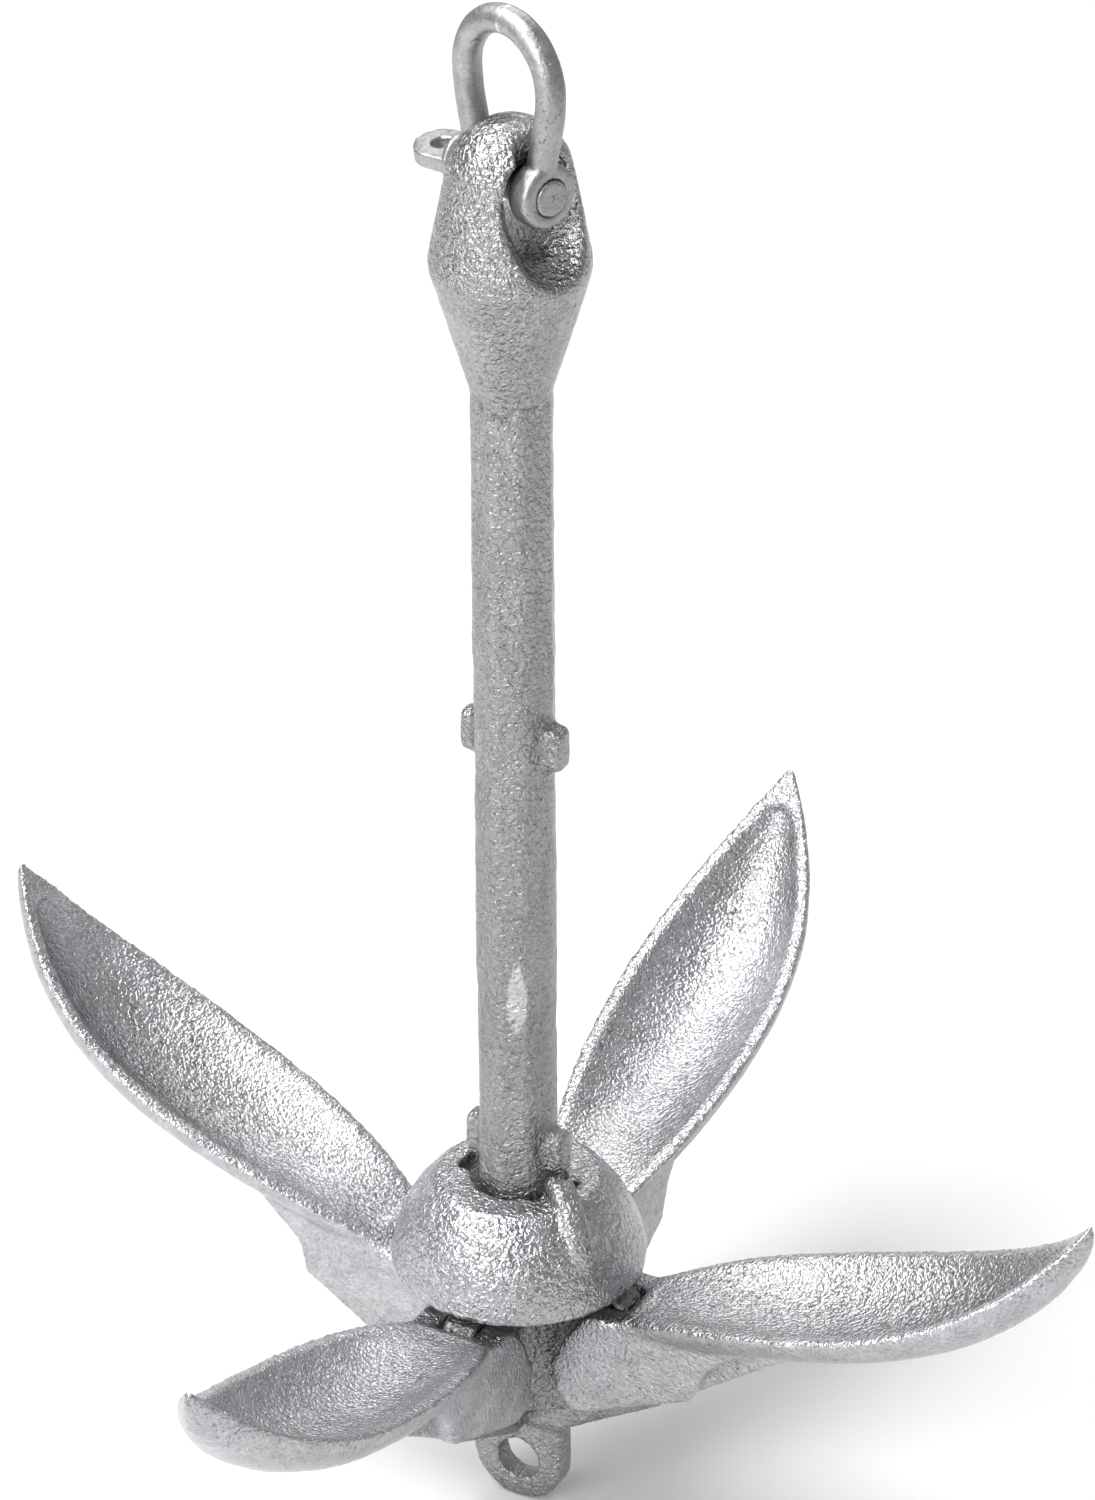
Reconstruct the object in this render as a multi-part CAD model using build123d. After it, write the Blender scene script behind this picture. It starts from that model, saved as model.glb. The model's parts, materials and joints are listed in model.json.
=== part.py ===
from build123d import *
import math
import os

# Folding grapnel anchor, 1.5 kg class, lying open with its collar down on the crown.
# Frame: millimetres, +Z up along the shank, origin where the shank axis crosses the plane of the
# four hinge pins. The first fluke points along +X, the others follow every 90 degrees.

# ---- driving dimensions ---------------------------------------------------------------------

RUNNING_GAP = 0.3  # between pieces that move past each other
PIN_FIT = 0.07  # radial clearance of a pin in the bore it turns in
THROUGH = 60.0  # length of a cutting tool that goes right through a piece

# shank: bar, head and lugs
BAR_RADIUS = 8.75
BAR_FLAT = 8.4  # axis to each of the eight soft flats
BAR_FLATS = 8
BAR_OVERLAP = 5.0  # how far the bar runs into the crown and the head
HEAD_FOOT_Z = 218.0
HEAD_TOP_Z = 278.4
HEAD_WIDE_Z = 247.0
HEAD_RADIUS = 16.9  # at the corner, before it is rounded
HEAD_ROUND = 9.0
HEAD_FOOT_RADIUS = 8.35
DOME_RADIUS = 13.2
DOME_START = 17.0  # degrees above the dome's own middle where the upper cone meets it
LUG_REACH = 12.0  # axis to the outer face of a lug
LUG_WIDTH = 6.0
LUG_HEIGHT = 9.8
LUG_ROUND = 1.6
LUG_NOSE_ROUND = 1.0
MID_LUG_Z = 137.5
LOW_LUG_Z = 37.0

# head eye, its bell mouths and the shackle in it
EYE_TURN = -21.5  # degrees from the first fluke to the axis of the eye
SHACKLE_TURN = -20.0  # the shackle pin lies a little askew in the eye
SHACKLE_Z = 265.0
THROAT_HALF_WIDTH = 5.2
THROAT_FOOT_Z = 250.5
HEAD_WEB = 5.1  # half the thickness left between the two bell mouths
BELL_RADIUS = 11.1
BELL_HALF_HEIGHT = 15.4
BELL_TILT = 29.0  # each bell mouth leans in towards the top
BELL_OUT = 15.5  # shank axis to the middle of a bell mouth
BELL_Z = 260.7
SWING_RADIUS = 7.6  # room in each bell mouth for the shackle's eye
SWING_ANGLE = 12.5  # room each way for the shackle's legs

# crown: knuckle webs and trip-line eye
PIN_CIRCLE = 24.5  # shank axis to each hinge pin
KNUCKLE_RADIUS = 5.2
WEB_THICKNESS = 8.2
WEB_TOP = 4.4
WEB_CORNER = (PIN_CIRCLE + 13.0, -19.4)  # outer low corner of a web, as (radius, height)
WEB_FOOT_Z = -35.0
TRIP_EYE_X = 0.7
TRIP_EYE_Z = -45.8
TRIP_EYE_RADIUS = 11.1
TRIP_EYE_BORE = 5.0
TRIP_EYE_BORE_Z = -46.5
TRIP_EYE_THICKNESS = 5.6

# collar
COLLAR_FOOT_Z = 6.6
COLLAR_HEIGHT = 21.8
COLLAR_RADIUS = 28.0
COLLAR_WALL = 4.2
COLLAR_ROOF = 5.7  # thickness of the top plate
COLLAR_BORE = 10.2
NOTCH_REACH = 13.5
NOTCH_WIDTH = 7.4
RIB_TURN = -37.0
RIB_OFFSET = 4.3  # the rib runs past the shank axis at this distance
RIB_HALF_WIDTH = 3.1
RIB_ROUND = 2.2

# flukes
FLUKE_ANGLES = (0, 90, 180, 270)
FLUKE_OPEN = (27.3, 30.6, 35.1, 26.6)  # degrees above level; the third rests partly raised
FLUKE_LENGTH = 125.5
PALM_HALF_WIDTH = 19.9
PALM_WIDEST = 60.0
PALM_TAPER = 75.0  # from the widest place back to where the sides would meet
PALM_POINT = 2.3  # power of the curve from the widest place to the tip
PALM_START = 6.0
PALM_SAG = 9.9
RIM_START = 1.2
RIM_TIP = 0.6
RIM_WIDTH = 3.4
BOWL_START = 9.0
BOWL_RUN = 42.0
BOWL_CLEAR = 9.0  # how far the tool that hollows the palm stands above the rim
PALM_DEPTH = 8.0
PALM_SKIN = 3.2
PALM_TIP_DEPTH = 0.45  # power by which the outside gets shallower as the palm narrows
RIM_FLAT = 0.4  # height of the plain edge above the outside's curve
FORK_HALF_WIDTH = 10.8
FORK_FOOT = -19.8
CHEEK_TOP = 4.1  # over the hinge pin
SLOT_END = 6.2  # the slot ends in an arc round the hinge
KEEL_HALF_WIDTH = 6.0

# hinge pins, closed in by the zinc over their ends
HINGE_PIN_RADIUS = 2.5
PIN_COVER = 0.7

# shackle
WIRE_RADIUS = 3.05
JAW_HALF = 6.15
BOW_RADIUS = 12.5
BOW_CENTRE = 21.5  # pin axis to the centre of the bow's arc
BOSS_RADIUS = 6.9
BOSS_LENGTH = 6.5
BOSS_ROUND = 2.3  # edge towards the head
BOSS_EDGE = 1.4  # outer edge
SHACKLE_PIN_RADIUS = 3.83
SHACKLE_PIN_PROUD = 0.5  # beyond the outer face of the eye
FLANGE_RADIUS = 5.9
FLANGE_THICKNESS = 1.5
TAB_RADIUS = 5.7
TAB_NECK = 4.2  # half the tab's width where it meets the flange
TAB_THICKNESS = 3.4
TAB_DROP = 0.4  # shackle pin axis down to the middle of the tab
TAB_HOLE_RADIUS = 2.1
TAB_REACH = 20.8  # shackle centre to the centre of the tab's round end
TAB_TILT = 8.0


def in_rz(points, close=True):
    """Face in the XZ plane from corner points given as (radius, height)."""
    return make_face(Plane.XZ * Polyline(*points, close=close))


def ring_of(shape, angles):
    """The shape turned about the shank axis to each of the angles."""
    return [Rot(0, 0, angle) * shape for angle in angles]


# ---- shank ----------------------------------------------------------------------------------


def shank_bar():
    """Round bar with eight soft flats, from the crown to inside the head."""
    outline = Circle(BAR_RADIUS) & RegularPolygon(BAR_FLAT, BAR_FLATS, major_radius=False)
    foot = WEB_FOOT_Z + BAR_OVERLAP
    return Pos(0, 0, foot) * extrude(outline, HEAD_FOOT_Z + BAR_OVERLAP - foot)


def lug(height):
    """Square-nosed lug on the +X side of the bar at the given height."""
    block = Box(LUG_REACH, LUG_WIDTH, LUG_HEIGHT, align=(Align.MIN, Align.CENTER, Align.CENTER))
    block = fillet(block.edges().filter_by(Axis.X), LUG_ROUND)
    block = fillet(block.faces().sort_by(Axis.X)[-1].edges(), LUG_NOSE_ROUND)
    return Pos(0, 0, height) * block


def head_blank():
    """Bulb at the top of the shank: a cone up to the widest point, then a narrower cone and a dome."""
    dome_z = HEAD_TOP_Z - DOME_RADIUS
    lean = math.radians(DOME_START)
    crest = (DOME_RADIUS * math.cos(lean), dome_z + DOME_RADIUS * math.sin(lean))
    higher = (DOME_RADIUS * math.sin(lean), dome_z + DOME_RADIUS * math.cos(lean))
    profile = Plane.XZ * (
        Polyline((0, HEAD_FOOT_Z), (HEAD_FOOT_RADIUS, HEAD_FOOT_Z), (HEAD_RADIUS, HEAD_WIDE_Z), crest)
        + ThreePointArc(crest, higher, (0, HEAD_TOP_Z))
        + Line((0, HEAD_TOP_Z), (0, HEAD_FOOT_Z))
    )
    face = make_face(profile)
    face = fillet(face.vertices().sort_by(Axis.X)[-1], HEAD_ROUND)
    return revolve(face, Axis.Z)


def swing_room():
    """Space on the +X side swept by one eye and one leg of the swinging shackle."""
    leg_out = JAW_HALF + WIRE_RADIUS
    groove = WIRE_RADIUS + RUNNING_GAP
    rise = 2 * (HEAD_TOP_Z - SHACKLE_Z)
    spread = rise * math.tan(math.radians(SWING_ANGLE))
    wedge = Polygon((0, 0), (spread, rise), (-spread, rise), align=None)
    room = extrude(Plane.YZ * Circle(SWING_RADIUS), BELL_RADIUS)
    room = Pos(HEAD_WEB, 0, 0) * fillet(room.edges().sort_by(Axis.X)[0], BOSS_ROUND)
    room += Pos(leg_out - groove, 0, 0) * extrude(Plane.YZ * wedge, BELL_RADIUS)
    leg = Cylinder(groove, rise, align=(Align.CENTER, Align.CENTER, Align.MIN))
    for lean in (-SWING_ANGLE, SWING_ANGLE):
        room += Pos(leg_out, 0, 0) * Rot(lean, 0, 0) * leg
    return room


def bell_mouths():
    """Both bell mouths and the throat of the head eye, along X before the eye is turned."""
    throat_top = SHACKLE_Z + SHACKLE_PIN_RADIUS + RUNNING_GAP
    throat_height = throat_top - THROAT_FOOT_Z
    straight = throat_height - 2 * THROAT_HALF_WIDTH
    throat = SlotCenterToCenter(straight, 2 * THROAT_HALF_WIDTH, rotation=90)
    middle = (throat_top + THROAT_FOOT_Z) / 2
    cut = [Pos(-THROUGH / 2, 0, middle) * extrude(Plane.YZ * throat, THROUGH)]
    egg_side = EllipticalCenterArc((0, 0), BELL_RADIUS, BELL_HALF_HEIGHT, start_angle=-90, arc_size=180)
    half_egg = Line((0, -BELL_HALF_HEIGHT), (0, BELL_HALF_HEIGHT)) + egg_side
    bowl = Rot(0, -BELL_TILT, 0) * revolve(make_face(Plane.XZ * half_egg), Axis.Z)
    for turn in (0, 180):
        cut.append(Rot(0, 0, turn) * Pos(BELL_OUT, 0, BELL_Z) * bowl)
        cut.append(Rot(0, 0, turn) * Pos(0, 0, SHACKLE_Z) * swing_room())
    return cut


def head():
    """Bulb with the eye for the shackle bored through it."""
    blank = head_blank()
    for tool in bell_mouths():
        blank -= Rot(0, 0, EYE_TURN) * tool
    return blank


def knuckle_web(foot_reach):
    """Radial web carrying one knuckle; foot_reach is where its lower edge meets the middle."""
    plate = in_rz([
        (0, WEB_TOP), (PIN_CIRCLE, KNUCKLE_RADIUS), (PIN_CIRCLE + KNUCKLE_RADIUS, 0),
        WEB_CORNER, (foot_reach, WEB_FOOT_Z), (0, WEB_FOOT_Z),
    ])
    knuckle = Plane.XZ * Pos(PIN_CIRCLE, 0) * Circle(KNUCKLE_RADIUS)
    bore = Plane.XZ * Pos(PIN_CIRCLE, 0) * Circle(HINGE_PIN_RADIUS + PIN_FIT)
    return extrude(plate + knuckle - bore, WEB_THICKNESS / 2, both=True)


def trip_eye():
    """Flat eye under the crown for the trip line."""
    half = TRIP_EYE_RADIUS
    shoulder = WEB_FOOT_Z + BAR_OVERLAP
    plate = in_rz([(-half, shoulder), (half, shoulder), (half, TRIP_EYE_Z), (-half, TRIP_EYE_Z)])
    round_end = Plane.XZ * Pos(0, TRIP_EYE_Z) * Circle(TRIP_EYE_RADIUS)
    hole = Plane.XZ * Pos(0, TRIP_EYE_BORE_Z) * Circle(TRIP_EYE_BORE)
    return Pos(TRIP_EYE_X, 0, 0) * extrude(plate + round_end - hole, TRIP_EYE_THICKNESS / 2, both=True)


def make_shank():
    """The one long casting: head, bar, lugs, four knuckle webs and the trip eye."""
    body = shank_bar() + head()
    for height in (LOW_LUG_Z, MID_LUG_Z):
        for piece in ring_of(lug(height), (0, 180)):
            body += piece
    for piece in ring_of(knuckle_web(TRIP_EYE_RADIUS), (0, 180)):
        body += piece
    for piece in ring_of(knuckle_web(BAR_RADIUS), (90, 270)):
        body += piece
    return body + trip_eye()


# ---- collar ---------------------------------------------------------------------------------


def collar_dome():
    """Hollow truncated dome with a thick top plate."""
    top = COLLAR_HEIGHT
    ring = math.sqrt(COLLAR_RADIUS**2 - top**2)
    inner = COLLAR_RADIUS - COLLAR_WALL
    roof = top - COLLAR_ROOF
    roof_reach = math.sqrt(inner**2 - roof**2)
    part_way = math.radians(30)
    on_arc = Vector(math.cos(part_way), math.sin(part_way))
    outside = ThreePointArc((COLLAR_RADIUS, 0), on_arc * COLLAR_RADIUS, (ring, top))
    inside = ThreePointArc((inner, 0), on_arc * inner, (roof_reach, roof))
    wire = (
        Line((inner, 0), (COLLAR_RADIUS, 0)) + outside
        + Polyline((ring, top), (COLLAR_BORE, top), (COLLAR_BORE, roof), (roof_reach, roof)) + inside
    )
    return revolve(make_face(Plane.XZ * wire), Axis.Z)


def collar_rib():
    """Rounded rib running down the dome beside a notch; its crest is given as (distance, height)."""
    crest = Spline((8.0, 26.5), (12.0, 26.5), (15.4, 25.6), (19.2, 23.0), (22.8, 19.0), (25.8, 10.4))
    below = Polyline((25.8, 10.4), (20.0, 10.0), (8.0, 18.8), (8.0, 26.5))
    rib = extrude(make_face(Plane.XZ * (crest + below)), RIB_HALF_WIDTH, both=True)
    rib = fillet(rib.edges().filter_by(GeomType.BSPLINE), RIB_ROUND)
    return Rot(0, 0, RIB_TURN) * Pos(0, RIB_OFFSET, 0) * rib


def make_collar():
    """Sliding collar that drops over the crown and keeps the flukes open."""
    body = collar_dome()
    body += collar_rib()
    notch = Box(NOTCH_REACH, NOTCH_WIDTH, 2 * COLLAR_HEIGHT, align=(Align.MIN, Align.CENTER, Align.MIN))
    for piece in ring_of(notch, (0, 180)):
        body -= piece
    body -= Cylinder(COLLAR_BORE, 3 * COLLAR_HEIGHT)
    return Pos(0, 0, COLLAR_FOOT_Z) * body


# ---- flukes ---------------------------------------------------------------------------------


def palm_half_width(u):
    """Half the palm's width at u along the fluke."""
    if u > PALM_WIDEST:
        return PALM_HALF_WIDTH * (1 - ((u - PALM_WIDEST) / (FLUKE_LENGTH - PALM_WIDEST)) ** PALM_POINT)
    return PALM_HALF_WIDTH * (1 - ((PALM_WIDEST - u) / PALM_TAPER) ** 2)


def rim_height(u):
    """Height of the palm's rim over the line out from the pin; it sags in the middle."""
    x = (u - PALM_START) / (FLUKE_LENGTH - PALM_START)
    sag = 27 / 4 * x * x * (1 - x)  # rises to one at two thirds of the length
    return RIM_START * (1 - x) + RIM_TIP * x - PALM_SAG * sag


def palm_section(u, below, half, rise):
    """Cross-section at u: the curve below the rim, closed by a box above it."""
    plane = Plane((u, 0, rim_height(u)), x_dir=(0, 1, 0), z_dir=(1, 0, 0))
    above = Polyline((half, 0), (half, rise), (-half, rise), (-half, 0))
    return plane * make_face(below + above)


def make_palm_blank():
    """The palm before it is hollowed."""
    stations = [PALM_START, 20, 40, 60, 80, 97, 111, 119, 124.5]
    sections = []
    for u in stations:
        half = palm_half_width(u)
        depth = (PALM_DEPTH + PALM_SKIN) * (half / PALM_HALF_WIDTH) ** PALM_TIP_DEPTH
        belly = EllipticalCenterArc((0, 0), half, depth, start_angle=180, arc_size=180)
        sections.append(palm_section(u, belly, half, RIM_FLAT))
    return loft(sections)


def make_bowl():
    """The hollow of the palm: no depth beside the hinge, full depth from a third of the length on."""
    stations = [10, 18, 28, 42, 60, 78, 95, 108, 116]
    full = PALM_HALF_WIDTH - RIM_WIDTH
    sections = []
    for u in stations:
        half = palm_half_width(u) - RIM_WIDTH
        fade = math.sin(math.pi / 2 * min(1, (u - BOWL_START) / BOWL_RUN))
        dish = ThreePointArc((-half, 0), (0, -PALM_DEPTH * fade * half / full), (half, 0))
        sections.append(palm_section(u, dish, half, BOWL_CLEAR))
    return loft(sections)


def fork_block():
    """Both cheeks before they are slotted, with the arch up to the palm's underside."""
    outline = Plane.XZ * (
        Polyline((-3.0, 3.2), (-9.0, 0.2), (-12.9, -3.4), (-14.9, -3.9), (-17.4, -11.8))
        + Polyline((-17.4, -11.8), (-15.6, -16.8), (-12.3, -18.4), (16.0, FORK_FOOT))
        + ThreePointArc((16.0, FORK_FOOT), (21.5, -14.8), (30.0, -11.8))
        + Polyline((30.0, -11.8), (50.0, -10.0), (50.0, -8.0), (14.0, 0.8), (6.5, 1.4), (3.4, 2.6))
        + ThreePointArc((3.4, 2.6), (0, CHEEK_TOP), (-3.0, 3.2))
    )
    return extrude(make_face(outline), FORK_HALF_WIDTH, both=True)


def keel():
    """Narrower rib under the palm, running out of the fork's outer corner."""
    outline = in_rz([
        (12.0, -8.0), (12.0, FORK_FOOT), (16.0, FORK_FOOT), (40.0, -16.4), (62.0, -14.0), (50.0, -10.0),
    ])
    return extrude(outline, KEEL_HALF_WIDTH, both=True)


def hinge_pin_shape():
    """Headless pin, a little shorter than the fork is wide."""
    return Plane.XZ * Cylinder(HINGE_PIN_RADIUS, 2 * (FORK_HALF_WIDTH - PIN_COVER))


def knuckle_slot():
    """Slot between the cheeks for the knuckle web, with a round end about the hinge."""
    width = WEB_THICKNESS + 2 * RUNNING_GAP
    slot = Box(THROUGH, width, THROUGH, align=(Align.MAX, Align.CENTER, Align.CENTER))
    slot += Pos(SLOT_END, 0, 0) * Box(THROUGH, width, THROUGH, align=(Align.MAX, Align.CENTER, Align.MAX))
    return slot + Plane.XZ * Cylinder(SLOT_END, width)


def make_fluke(azimuth, opening):
    """One fluke: a palm with a fork that straddles its knuckle."""
    body = fork_block() + keel() + make_palm_blank()
    body -= make_bowl()
    body -= knuckle_slot()
    body -= hinge_pin_shape()
    return Rot(0, 0, azimuth) * Pos(PIN_CIRCLE, 0, 0) * Rot(0, -opening, 0) * body


def make_hinge_pin(azimuth):
    return Rot(0, 0, azimuth) * Pos(PIN_CIRCLE, 0, 0) * hinge_pin_shape()


# ---- shackle --------------------------------------------------------------------------------


def place_shackle(shape):
    return Pos(0, 0, SHACKLE_Z) * Rot(0, 0, SHACKLE_TURN) * shape


def make_shackle_bow():
    """Bent round bar with an eye at each end for the pin."""
    foot = JAW_HALF + WIRE_RADIUS
    leg = Spline((foot, 0), (BOW_RADIUS, BOW_CENTRE), tangents=((0, 1), (0, 1)))
    arch = ThreePointArc((BOW_RADIUS, BOW_CENTRE), (0, BOW_CENTRE + BOW_RADIUS), (-BOW_RADIUS, BOW_CENTRE))
    other = Spline((-BOW_RADIUS, BOW_CENTRE), (-foot, 0), tangents=((0, -1), (0, -1)))
    path = Plane.XZ * (leg + arch + other)
    start = Plane(path @ 0, z_dir=path % 0)
    body = sweep(start * Circle(WIRE_RADIUS), path=path)
    boss = extrude(Plane.YZ * Circle(BOSS_RADIUS), BOSS_LENGTH)
    boss = fillet(boss.edges().sort_by(Axis.X)[0], BOSS_ROUND)
    boss = fillet(boss.edges().sort_by(Axis.X)[-1], BOSS_EDGE)
    for turn in (0, 180):
        body += Rot(0, 0, turn) * Pos(JAW_HALF, 0, 0) * boss
    body -= Plane.YZ * Cylinder(SHACKLE_PIN_RADIUS + PIN_FIT, THROUGH)
    return place_shackle(body)


def make_shackle_pin():
    """Screw pin with a flange and a flat tab to turn it by."""
    tip = JAW_HALF + BOSS_LENGTH + SHACKLE_PIN_PROUD
    flange_face = -JAW_HALF - BOSS_LENGTH - RUNNING_GAP
    pin = Pos(flange_face, 0, 0) * extrude(Plane.YZ * Circle(SHACKLE_PIN_RADIUS), tip - flange_face)
    pin += Pos(flange_face, 0, 0) * extrude(Plane.YZ * Circle(FLANGE_RADIUS), -FLANGE_THICKNESS)
    neck = Polygon(
        (flange_face, -TAB_NECK), (flange_face, TAB_NECK),
        (-TAB_REACH, TAB_RADIUS), (-TAB_REACH, -TAB_RADIUS), align=None)
    end = Pos(-TAB_REACH, 0)
    outline = neck + end * Circle(TAB_RADIUS) - end * Circle(TAB_HOLE_RADIUS)
    pin += Rot(TAB_TILT, 0, 0) * Pos(0, 0, -TAB_DROP) * extrude(outline, TAB_THICKNESS / 2, both=True)
    return place_shackle(pin)


# ---- write the pieces -----------------------------------------------------------------------


def main():
    pieces = {
        "shank": make_shank(),
        "collar": make_collar(),
        "shackle_bow": make_shackle_bow(),
        "shackle_pin": make_shackle_pin(),
    }
    for number, (azimuth, opening) in enumerate(zip(FLUKE_ANGLES, FLUKE_OPEN), start=1):
        pieces[f"fluke_{number}"] = make_fluke(azimuth, opening)
        pieces[f"hinge_pin_{number}"] = make_hinge_pin(azimuth)
    os.makedirs("parts", exist_ok=True)
    for name, shape in pieces.items():
        export_step(shape, f"parts/{name}.step")


main()
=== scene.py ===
import json
import math

import bpy
import numpy as np
from mathutils import Matrix, Vector, noise

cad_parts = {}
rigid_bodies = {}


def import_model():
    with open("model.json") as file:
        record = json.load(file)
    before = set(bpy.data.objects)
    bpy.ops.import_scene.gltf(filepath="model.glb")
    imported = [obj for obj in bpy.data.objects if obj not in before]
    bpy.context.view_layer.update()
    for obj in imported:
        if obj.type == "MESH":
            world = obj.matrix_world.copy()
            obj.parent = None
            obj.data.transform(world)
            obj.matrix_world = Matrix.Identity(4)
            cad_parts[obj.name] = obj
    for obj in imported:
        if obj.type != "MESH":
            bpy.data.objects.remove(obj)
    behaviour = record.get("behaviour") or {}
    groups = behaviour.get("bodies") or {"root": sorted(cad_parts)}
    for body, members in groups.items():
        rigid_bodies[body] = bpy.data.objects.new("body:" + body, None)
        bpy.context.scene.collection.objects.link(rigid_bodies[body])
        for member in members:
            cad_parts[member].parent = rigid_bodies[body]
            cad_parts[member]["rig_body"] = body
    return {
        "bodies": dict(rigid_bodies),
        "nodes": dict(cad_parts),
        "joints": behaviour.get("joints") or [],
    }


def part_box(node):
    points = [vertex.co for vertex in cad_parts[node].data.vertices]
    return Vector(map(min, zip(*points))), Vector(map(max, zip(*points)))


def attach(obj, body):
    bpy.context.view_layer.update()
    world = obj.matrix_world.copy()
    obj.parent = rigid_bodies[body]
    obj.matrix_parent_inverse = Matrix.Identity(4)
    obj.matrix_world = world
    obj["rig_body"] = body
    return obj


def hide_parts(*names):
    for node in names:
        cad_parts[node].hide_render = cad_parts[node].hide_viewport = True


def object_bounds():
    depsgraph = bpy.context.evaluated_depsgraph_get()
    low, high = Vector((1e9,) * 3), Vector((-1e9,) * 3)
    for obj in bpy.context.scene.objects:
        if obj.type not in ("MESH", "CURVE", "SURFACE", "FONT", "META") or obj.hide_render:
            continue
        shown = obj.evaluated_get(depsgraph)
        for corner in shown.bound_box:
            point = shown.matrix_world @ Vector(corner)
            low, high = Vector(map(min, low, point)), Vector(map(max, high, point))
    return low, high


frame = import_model()
cad_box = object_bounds()

MM = 0.001

# ---- driving values -------------------------------------------------------------------------

# The castings are skinned with a fine mesh whose edges are rounded and whose faces undulate.
SHANK_CELL = 0.85 * MM
FLUKE_CELL = 0.75 * MM
COLLAR_CELL = 0.65 * MM
SHACKLE_CELL = 0.42 * MM
PIN_CELL = 0.4 * MM

# places on the shank, as heights above the hinge pins
KNUCKLE_TOP = 20 * MM
PATCH_HEIGHT = 78 * MM
FLASH_FOOT = 141 * MM
FLASH_TOP = 211 * MM
NECK = 217 * MM  # where the bar steps into the head's cone
CONE_TOP = 246 * MM
BELL_FOOT = 245 * MM
BELL_TOP = 274.5 * MM
HEAD_TOP = 278.4 * MM
BOW_SHOULDER = 290 * MM  # the shackle's bow has its mould seam above this

SEAM_WIDTH = 0.45 * MM
SEAM_HEIGHT = 0.05 * MM
PATCH_TURN = -61  # degrees from the first fluke round to the pale patch on the bar
DOME_RADIUS = 28 * MM
DOME_HEIGHT = 21.8 * MM
BLEACHED_AND_LIT_TONE = 0.72  # where the zinc has gone pale, and painted light in the hollows of the head

# slight casts of the zinc
WARM = (1.02, 0.99, 0.97)
DULL = (1.01, 0.985, 0.985)
COOL = (1.0, 0.985, 1.035)

# floor and light
FLOOR_HALF = 4.0
LAMP_AIM_HEIGHT = 80 * MM
SKY_STRENGTH = 0.42

# camera, solved from the photo; angles in degrees
CAMERA_AZIMUTH = -60.88
CAMERA_ELEVATION = 34.69
CAMERA_DISTANCE = 1.3318  # from the middle of the crown
CAMERA_AIM = Vector((0.0060, 0.0033, 0.1344))
CAMERA_ROLL = 0.35
CAMERA_LENS = 144.4
SENSOR_HEIGHT = 36.0

JOINTS = {joint["name"]: joint for joint in frame["joints"]}
FLUKES = [name for name in frame["bodies"] if name.startswith("fluke_")]


# ---- small helpers --------------------------------------------------------------------------


def coordinates(mesh):
    """The mesh's vertices as rows of a numpy array."""
    flat = np.empty(len(mesh.vertices) * 3, np.float32)
    mesh.vertices.foreach_get("co", flat)
    return flat.reshape(-1, 3).astype(float)


def normals(mesh):
    """The mesh's vertex normals as rows of a numpy array."""
    flat = np.empty(len(mesh.vertices) * 3, np.float32)
    mesh.vertex_normals.foreach_get("vector", flat)
    return flat.reshape(-1, 3).astype(float)


def set_coordinates(mesh, points):
    mesh.vertices.foreach_set("co", points.astype(np.float32).ravel())
    mesh.update()


def noise_at(points, wavelength, seed):
    """Smooth noise from -1 to 1 at every point, with features about one wavelength across."""
    shift = Vector((seed * 7.31, seed * 3.17, seed * 5.53))
    return np.array([noise.noise(Vector(p) / wavelength + shift) for p in points])


def smoothstep(low, high, x):
    t = np.clip((x - low) / (high - low), 0, 1)
    return t * t * (3 - 2 * t)


def paint(mesh, name, values):
    """Store one number per vertex for a material to read."""
    layer = mesh.attributes.new(name, "FLOAT", "POINT")
    layer.data.foreach_set("value", np.asarray(values, np.float32))


# ---- cast skins -----------------------------------------------------------------------------


def skin(node, cell, rounds):
    """A finely and evenly meshed copy of a CAD node, its edges softened by rounds of smoothing."""
    source = frame["nodes"][node]
    mesh = source.data.copy()
    piece = bpy.data.objects.new(node + "_skin", mesh)
    bpy.context.scene.collection.objects.link(piece)
    weld = piece.modifiers.new("weld", "WELD")
    weld.merge_threshold = 1e-6
    remesh = piece.modifiers.new("remesh", "REMESH")
    remesh.mode = "VOXEL"
    remesh.voxel_size = cell
    remesh.use_smooth_shade = True
    soften = piece.modifiers.new("soften", "SMOOTH")
    soften.factor = 0.5
    soften.iterations = rounds
    graph = bpy.context.evaluated_depsgraph_get()
    final = bpy.data.meshes.new_from_object(piece.evaluated_get(graph))
    piece.modifiers.clear()
    piece.data = final
    final.materials.clear()
    final.shade_smooth()
    return piece


def finish_skin(piece, node, material):
    """Trim the skin to its node's box and put it in the node's place."""
    lowest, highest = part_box(node)
    set_coordinates(piece.data, np.clip(coordinates(piece.data), lowest, highest))
    piece.data.materials.append(material)
    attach(piece, frame["nodes"][node]["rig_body"])
    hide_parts(node)


def undulate(piece, waves):
    """Push the surface in and out along its normals by the sum of (wavelength, height, seed) waves."""
    points = coordinates(piece.data)
    facing = normals(piece.data)
    push = np.zeros(len(points))
    for wavelength, height, seed in waves:
        push += height * noise_at(points, wavelength, seed)
    set_coordinates(piece.data, points + facing * push[:, None])


# ---- materials ------------------------------------------------------------------------------


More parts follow.
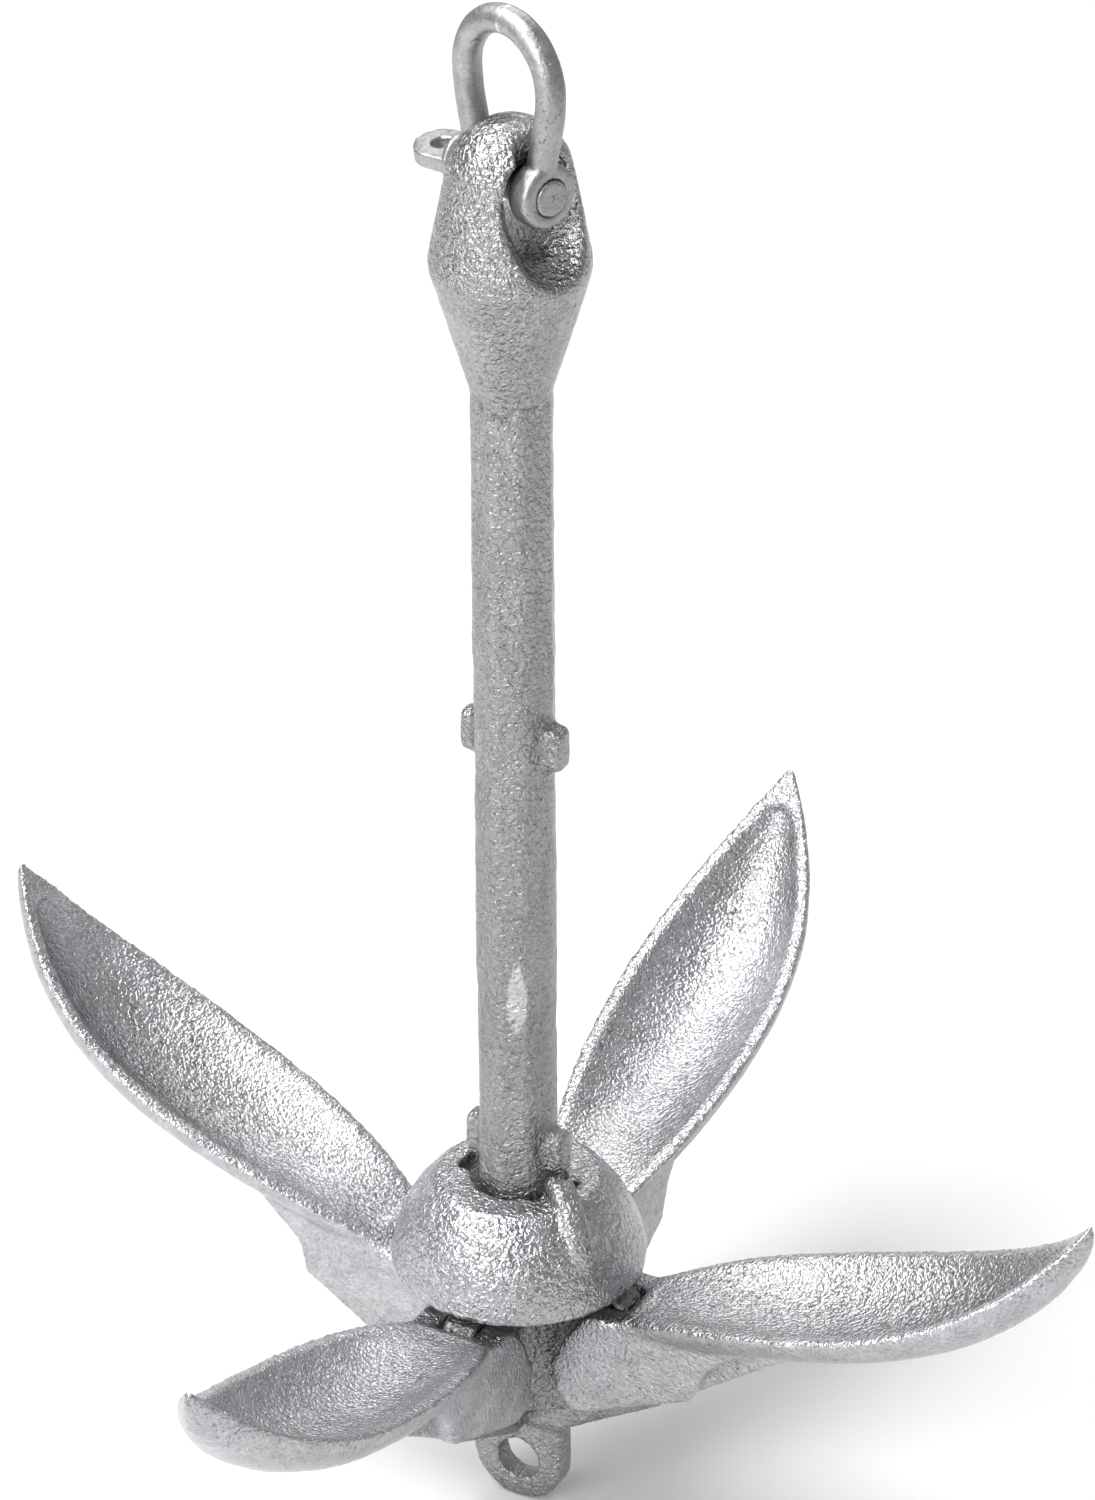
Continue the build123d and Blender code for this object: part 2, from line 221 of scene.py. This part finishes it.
class Shader:
    """Small wrapper that adds and links nodes by short calls."""

    def __init__(self, name):
        self.material = bpy.data.materials.new(name)
        self.material.use_nodes = True
        self.tree = self.material.node_tree
        self.tree.nodes.clear()
        self.place = self.add("ShaderNodeTexCoord").outputs["Object"]

    def add(self, kind, **settings):
        node = self.tree.nodes.new(kind)
        for key, value in settings.items():
            setattr(node, key, value)
        return node

    def feed(self, socket, value):
        if isinstance(value, bpy.types.NodeSocket):
            self.tree.links.new(value, socket)
        else:
            socket.default_value = value

    def noise(self, size, detail=2.0, rough=0.5, distortion=0.0, stretch=1.0):
        """Fractal noise from 0 to 1; stretch draws its features out along the shank."""
        node = self.add("ShaderNodeTexNoise")
        place = self.add("ShaderNodeVectorMath", operation="MULTIPLY")
        self.feed(place.inputs[0], self.place)
        place.inputs[1].default_value = (1.0, 1.0, 1.0 / stretch)
        self.feed(node.inputs["Vector"], place.outputs["Vector"])
        node.inputs["Scale"].default_value = 1.0 / size
        node.inputs["Detail"].default_value = detail
        node.inputs["Roughness"].default_value = rough
        node.inputs["Distortion"].default_value = distortion
        return node.outputs["Fac"]

    def attribute(self, name):
        return self.add("ShaderNodeAttribute", attribute_name=name).outputs["Fac"]

    def cavity(self):
        return self.add("ShaderNodeNewGeometry").outputs["Pointiness"]

    def math(self, operation, a, b=0.0, clamp=False):
        node = self.add("ShaderNodeMath", operation=operation, use_clamp=clamp)
        self.feed(node.inputs[0], a)
        self.feed(node.inputs[1], b)
        return node.outputs[0]

    def range(self, value, low, high, to_low, to_high):
        node = self.add("ShaderNodeMapRange", interpolation_type="SMOOTHSTEP")
        self.feed(node.inputs["Value"], value)
        limits = {"From Min": low, "From Max": high, "To Min": to_low, "To Max": to_high}
        for socket, number in limits.items():
            self.feed(node.inputs[socket], number)
        return node.outputs["Result"]

    def mix(self, factor, a, b):
        node = self.add("ShaderNodeMix", data_type="RGBA")
        self.feed(node.inputs["Factor"], factor)
        self.feed(node.inputs["A"], a)
        self.feed(node.inputs["B"], b)
        return node.outputs["Result"]

    def blend(self, factor, a, b):
        """Number between a and b."""
        node = self.add("ShaderNodeMix", data_type="FLOAT")
        self.feed(node.inputs["Factor"], factor)
        self.feed(node.inputs["A"], a)
        self.feed(node.inputs["B"], b)
        return node.outputs["Result"]

    def bump(self, height, depth, strength=1.0, after=None):
        node = self.add("ShaderNodeBump")
        node.inputs["Distance"].default_value = depth
        self.feed(node.inputs["Strength"], strength)
        self.feed(node.inputs["Height"], height)
        if after is not None:
            self.feed(node.inputs["Normal"], after)
        return node.outputs["Normal"]

    def surface(self, colour, roughness, normal, metallic=1.0):
        shader = self.add("ShaderNodeBsdfPrincipled")
        self.feed(shader.inputs["Base Color"], colour)
        self.feed(shader.inputs["Roughness"], roughness)
        self.feed(shader.inputs["Normal"], normal)
        shader.inputs["Metallic"].default_value = metallic
        out = self.add("ShaderNodeOutputMaterial")
        self.feed(out.inputs["Surface"], shader.outputs["BSDF"])
        return self.material


def tinted(value, tint):
    """Grey of the given value with a slight cast."""
    return (value * tint[0], value * tint[1], value * tint[2], 1.0)


def galvanised(name, tone, tint, roughness, hammer, grain, streak=1.0):
    """Hot-dip zinc over cast iron.

    The vertex attribute "fresh" says where the zinc is bright and bumpy (1) or dull and matte (0),
    and "stain_and_shading" where dirt and painted shade darken it (above 0)
    and where bleaching and painted light lighten it (below 0).
    hammer and grain are (size, depth) pairs of the coarse and the fine bumps.
    """
    s = Shader(name)
    fresh = s.attribute("fresh")
    stain_and_shading = s.attribute("stain_and_shading")
    mottle = s.noise(6 * MM, detail=6.0, rough=0.7, distortion=0.5, stretch=streak)

    # zinc bloom, broad clouds and fine specks
    patchy = s.range(mottle, 0.34, 0.67, 0.0, 1.0)
    dull = s.mix(patchy, tinted(tone * 0.88, tint), tinted(tone * 1.2, tint))
    bright = s.mix(patchy, tinted(tone * 1.08, tint), tinted(tone * 1.3, tint))
    colour = s.mix(fresh, dull, bright)
    cloud = s.noise(32 * MM, detail=3.0)
    colour = s.mix(s.range(cloud, 0.40, 0.62, 0.0, 0.3), colour, tinted(tone * 0.9, WARM))
    speck = s.noise(0.7 * MM, detail=2.0, rough=0.7)
    colour = s.mix(s.range(speck, 0.36, 0.56, 0.4, 0.0), colour, tinted(tone * 0.55, tint))

    # dirt and painted shade, bleaching and painted light, and darkening in the hollows
    colour = s.mix(s.range(stain_and_shading, 0.0, 1.0, 0.0, 0.8), colour, tinted(tone * 0.35, WARM))
    colour = s.mix(s.range(stain_and_shading, -1.0, 0.0, 0.8, 0.0), colour, tinted(BLEACHED_AND_LIT_TONE, tint))
    # darker where the surface curves inward
    colour = s.mix(s.range(s.cavity(), 0.43, 0.50, 0.75, 0.0), colour, tinted(tone * 0.34, WARM))

    # scattered casting pits
    pits = s.range(s.noise(1.2 * MM, detail=1.0), 0.64, 0.70, 0.0, 1.0)
    rare = s.range(s.noise(14 * MM, detail=2.0), 0.46, 0.62, 0.0, 1.0)
    pits = s.math("MULTIPLY", pits, rare)
    colour = s.mix(s.math("MULTIPLY", pits, 0.5), colour, tinted(tone * 0.3, WARM))

    matte = s.range(mottle, 0.3, 0.7, roughness + 0.04, roughness + 0.15)
    satin = s.range(mottle, 0.3, 0.7, roughness - 0.08, roughness + 0.05)
    spread = s.blend(fresh, matte, satin)

    # bumps left by the sand mould and the dripping zinc
    relief = s.blend(fresh, 0.9, 1.0)
    coarse = s.noise(hammer[0], detail=1.0, rough=0.5, distortion=0.6)
    normal = s.bump(coarse, hammer[1], strength=relief)
    fine = s.noise(grain[0], detail=2.0, rough=0.6)
    normal = s.bump(fine, grain[1], after=normal)
    normal = s.bump(s.math("SUBTRACT", 1.0, pits), 0.2 * MM, after=normal)
    return s.surface(colour, spread, normal)


# ---- the pieces -----------------------------------------------------------------------------


def make_shank():
    """Dull, faintly streaked bar under a bright and bumpy head."""
    piece = skin("shank", SHANK_CELL, 4)
    undulate(piece, [(2.4 * MM, 0.14 * MM, 1), (9 * MM, 0.18 * MM, 2), (30 * MM, 0.2 * MM, 3)])
    raise_flash(piece)
    points = coordinates(piece.data)
    cone = smoothstep(NECK - 12 * MM, NECK + 8 * MM, points[:, 2])
    bulb = smoothstep(CONE_TOP - 10 * MM, CONE_TOP + 10 * MM, points[:, 2])
    paint(piece.data, "fresh", 0.25 + 0.3 * cone + 0.45 * bulb)
    # darker: a broken ring at the neck, a dirty spot on top, and painted shade under the collar
    stain_and_shading = 0.8 * neck_ring(points) + 0.95 * dirt_on_top(points) + 0.6 * shade_under_collar(points)
    # lighter: the pale patch on the bar, and painted light in the hollows of the head
    stain_and_shading -= bleached_patch(points) + 0.9 * painted_light_in_bells(points, normals(piece.data))
    paint(piece.data, "stain_and_shading", stain_and_shading)
    material = galvanised(
        "zinc_shank", tone=0.37, tint=DULL, roughness=0.24,
        hammer=(1.1 * MM, 0.85 * MM), grain=(0.45 * MM, 0.16 * MM), streak=2.5,
    )
    finish_skin(piece, "shank", material)


def raise_flash(piece):
    """Rough remains of the casting flash along both sides of the upper bar."""
    points = coordinates(piece.data)
    height = points[:, 2]
    along = smoothstep(FLASH_FOOT - 5 * MM, FLASH_FOOT + 5 * MM, height)
    along = along * smoothstep(FLASH_TOP + 5 * MM, FLASH_TOP - 5 * MM, height)
    ridge = np.exp(-(points[:, 1] / (0.9 * MM)) ** 2) * along
    rough = 0.30 + 0.30 * noise_at(points, 3 * MM, 5)
    outward = np.sign(points[:, 0])
    points[:, 0] += outward * ridge * np.clip(rough, 0, 1) * MM
    set_coordinates(piece.data, points)


def neck_ring(points):
    """Broken dark ring where the bar steps into the head."""
    ring = np.exp(-((points[:, 2] - NECK) / (2.2 * MM)) ** 2)
    return ring * smoothstep(-0.2, 0.5, noise_at(points, 2.5 * MM, 4))


def shade_under_collar(points):
    """Painted shade on the hinge knuckles and the web of the crown, low down under the collar."""
    out = np.hypot(points[:, 0], points[:, 1])
    height = points[:, 2]
    low = smoothstep(-20 * MM, -6 * MM, height) * (height < KNUCKLE_TOP)
    return low * smoothstep(9.5 * MM, 13 * MM, out)


def painted_light_in_bells(points, facing):
    """Painted light on the hollow faces of the head, lifting the shade inside them."""
    out = points[:, :2] / np.maximum(np.hypot(points[:, 0], points[:, 1]), MM)[:, None]
    inward = smoothstep(0.35, 0.0, (facing[:, :2] * out).sum(axis=1))
    above = smoothstep(BELL_FOOT - 2 * MM, BELL_FOOT + 2 * MM, points[:, 2])
    below = smoothstep(BELL_TOP + 2.5 * MM, BELL_TOP - 2.5 * MM, points[:, 2])
    return inward * above * below


def dirt_on_top(points):
    """Dark spot on the crown of the head."""
    middle = (-2 * MM, -1 * MM, HEAD_TOP - 0.9 * MM)
    spot = np.linalg.norm((points - middle) / (1, 1, 2), axis=1)
    return smoothstep(3.6 * MM, 2.0 * MM, spot + 1.2 * MM * noise_at(points, 2 * MM, 6))


def bleached_patch(points):
    """Long pale patch low on the side of the bar."""
    turn = math.radians(PATCH_TURN)
    beside = points[:, 0] * -math.sin(turn) + points[:, 1] * math.cos(turn)
    front = points[:, 0] * math.cos(turn) + points[:, 1] * math.sin(turn)
    away = np.hypot(beside / (2.3 * MM), (points[:, 2] - PATCH_HEIGHT) / (8.5 * MM))
    return smoothstep(1.1, 0.75, away + 0.2 * noise_at(points, 3 * MM, 7)) * (front > 0)


def make_collar():
    """Bright, bumpy dome with a duller, worn rib."""
    piece = skin("collar", COLLAR_CELL, 3)
    undulate(piece, [(2.0 * MM, 0.20 * MM, 11), (8 * MM, 0.2 * MM, 12)])
    points = coordinates(piece.data)
    fresh = 0.7 + 0.3 * smoothstep(0.4, -0.2, noise_at(points, 12 * MM, 13))
    paint(piece.data, "fresh", fresh * (1 - 0.8 * proud_of_dome(points)))
    material = galvanised(
        "zinc_collar", tone=0.44, tint=COOL, roughness=0.22,
        hammer=(1.05 * MM, 0.62 * MM), grain=(0.45 * MM, 0.12 * MM),
    )
    finish_skin(piece, "collar", material)


def proud_of_dome(points):
    """Where the collar stands out beyond its plain dome: the rib."""
    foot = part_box("collar")[0][2]
    beyond = np.linalg.norm(points - (0, 0, foot), axis=1) - DOME_RADIUS
    above = points[:, 2] - foot - DOME_HEIGHT
    return np.maximum(smoothstep(0.3 * MM, 1.0 * MM, beyond), smoothstep(0.4 * MM, 1.1 * MM, above))


def fluke_frame(body):
    """Directions out along the fluke, across it and up from its palm, and the hinge's position."""
    hinge = JOINTS[body + "_fold"]
    across = Vector(hinge["axis"])
    lift = Matrix.Rotation(math.radians(90 - hinge["range_deg"][1]), 3, across)
    outward = lift @ Vector((0, 0, 1)).cross(across)
    return np.array(outward), np.array(across), np.array(across.cross(outward)), np.array(hinge["pos_m"])


def make_flukes():
    """Bright, bumpy palms; the cheeks, the keel and the outside are duller."""
    material = galvanised(
        "zinc_fluke", tone=0.52, tint=COOL, roughness=0.21,
        hammer=(0.9 * MM, 0.5 * MM), grain=(0.45 * MM, 0.14 * MM),
    )
    for number, body in enumerate(FLUKES):
        piece = skin(body, FLUKE_CELL, 7)
        undulate(piece, [(1.9 * MM, 0.10 * MM, 20 + number), (9 * MM, 0.16 * MM, 30 + number)])
        outward, across, up, hinge = fluke_frame(body)
        facing = normals(piece.data) @ up
        reach = (coordinates(piece.data) - hinge) @ outward
        palm = smoothstep(0.1, 0.5, facing) * smoothstep(4 * MM, 12 * MM, reach)
        paint(piece.data, "fresh", palm)
        finish_skin(piece, body, material)


def make_hinge_pins():
    """Plain pins; with nothing painted on them they stay dull and clean."""
    material = galvanised(
        "zinc_hinge_pin", tone=0.4, tint=DULL, roughness=0.4,
        hammer=(1.1 * MM, 0.06 * MM), grain=(0.4 * MM, 0.03 * MM),
    )
    for body in FLUKES:
        node = body.replace("fluke", "hinge_pin")
        piece = skin(node, PIN_CELL, 2)
        finish_skin(piece, node, material)


def make_shackle():
    """Smooth forged bow and pin, with the pale mould seam across the top of the bow."""
    material = galvanised(
        "zinc_shackle", tone=0.42, tint=DULL, roughness=0.34,
        hammer=(2.0 * MM, 0.16 * MM), grain=(0.5 * MM, 0.05 * MM),
    )
    axis = np.array(JOINTS["shackle_swing"]["axis"])
    for number, node in enumerate(("shackle_bow", "shackle_pin")):
        piece = skin(node, SHACKLE_CELL, 3)
        undulate(piece, [(3.5 * MM, 0.06 * MM, 40 + number)])
        points = coordinates(piece.data)
        seam = np.exp(-((points @ axis) / SEAM_WIDTH) ** 2) * (points[:, 2] > BOW_SHOULDER)
        ridge = (seam * SEAM_HEIGHT)[:, None]
        set_coordinates(piece.data, points + normals(piece.data) * ridge)
        paint(piece.data, "fresh", seam)
        paint(piece.data, "stain_and_shading", -seam)
        finish_skin(piece, node, material)


# ---- stage, light, camera -------------------------------------------------------------------


def make_floor():
    mesh = bpy.data.meshes.new("floor")
    height = cad_box[0][2]
    corner_signs = ((-1, -1), (1, -1), (1, 1), (-1, 1))
    corners = [(x * FLOOR_HALF, y * FLOOR_HALF, height) for x, y in corner_signs]
    mesh.from_pydata(corners, [], [(0, 1, 2, 3)])
    floor = bpy.data.objects.new("floor", mesh)
    bpy.context.scene.collection.objects.link(floor)
    s = Shader("floor_white")
    normal = s.bump(s.noise(4 * MM), 0.01 * MM)
    colour = s.mix(s.noise(0.5), (0.86, 0.86, 0.86, 1.0), (0.89, 0.89, 0.89, 1.0))
    mesh.materials.append(s.surface(colour, roughness=0.9, normal=normal, metallic=0.0))


def look_from(location, target):
    """Rotation of a lamp or camera at location that faces target."""
    return (target - location).to_track_quat("-Z", "Y")


def make_lamp(name, azimuth, elevation, distance, size, watts):
    data = bpy.data.lights.new(name, "AREA")
    data.shape = "RECTANGLE"
    data.size, data.size_y = size
    data.energy = watts
    lamp = bpy.data.objects.new(name, data)
    turn, lift = math.radians(azimuth), math.radians(elevation)
    target = Vector((0, 0, LAMP_AIM_HEIGHT))
    away = Vector((math.cos(turn) * math.cos(lift), math.sin(turn) * math.cos(lift), math.sin(lift)))
    lamp.location = target + away * distance
    lamp.rotation_mode = "QUATERNION"
    lamp.rotation_quaternion = look_from(lamp.location, target)
    bpy.context.scene.collection.objects.link(lamp)


def make_lights():
    """Three soft boxes placed about the camera, and an even white sky."""
    make_lamp("key", CAMERA_AZIMUTH - 40, elevation=30, distance=1.7, size=(1.0, 0.9), watts=16)
    make_lamp("top", CAMERA_AZIMUTH - 98, elevation=65, distance=1.5, size=(1.0, 1.0), watts=21)
    make_lamp("back", CAMERA_AZIMUTH + 170, elevation=40, distance=1.8, size=(1.0, 0.8), watts=6)
    world = bpy.data.worlds.new("studio")
    world.use_nodes = True
    background = world.node_tree.nodes["Background"]
    background.inputs["Color"].default_value = (1.0, 1.0, 1.0, 1.0)
    background.inputs["Strength"].default_value = SKY_STRENGTH
    bpy.context.scene.world = world
    bpy.context.scene.view_settings.view_transform = "Standard"
    bpy.context.scene.view_settings.look = "None"


def make_camera():
    """The photo's camera."""
    data = bpy.data.cameras.new("camera")
    data.sensor_fit = "VERTICAL"
    data.sensor_height = SENSOR_HEIGHT
    data.lens = CAMERA_LENS
    data.clip_end = 20.0
    camera = bpy.data.objects.new("camera", data)
    turn, lift = math.radians(CAMERA_AZIMUTH), math.radians(CAMERA_ELEVATION)
    away = Vector((math.cos(turn) * math.cos(lift), math.sin(turn) * math.cos(lift), math.sin(lift)))
    camera.location = away * CAMERA_DISTANCE
    facing = look_from(camera.location, CAMERA_AIM).to_matrix().to_4x4()
    roll = Matrix.Rotation(math.radians(-CAMERA_ROLL), 4, "Z")
    camera.matrix_world = Matrix.Translation(camera.location) @ facing @ roll
    bpy.context.scene.collection.objects.link(camera)
    bpy.context.scene.camera = camera


make_shank()
make_collar()
make_flukes()
make_hinge_pins()
make_shackle()
make_floor()
make_lights()
make_camera()
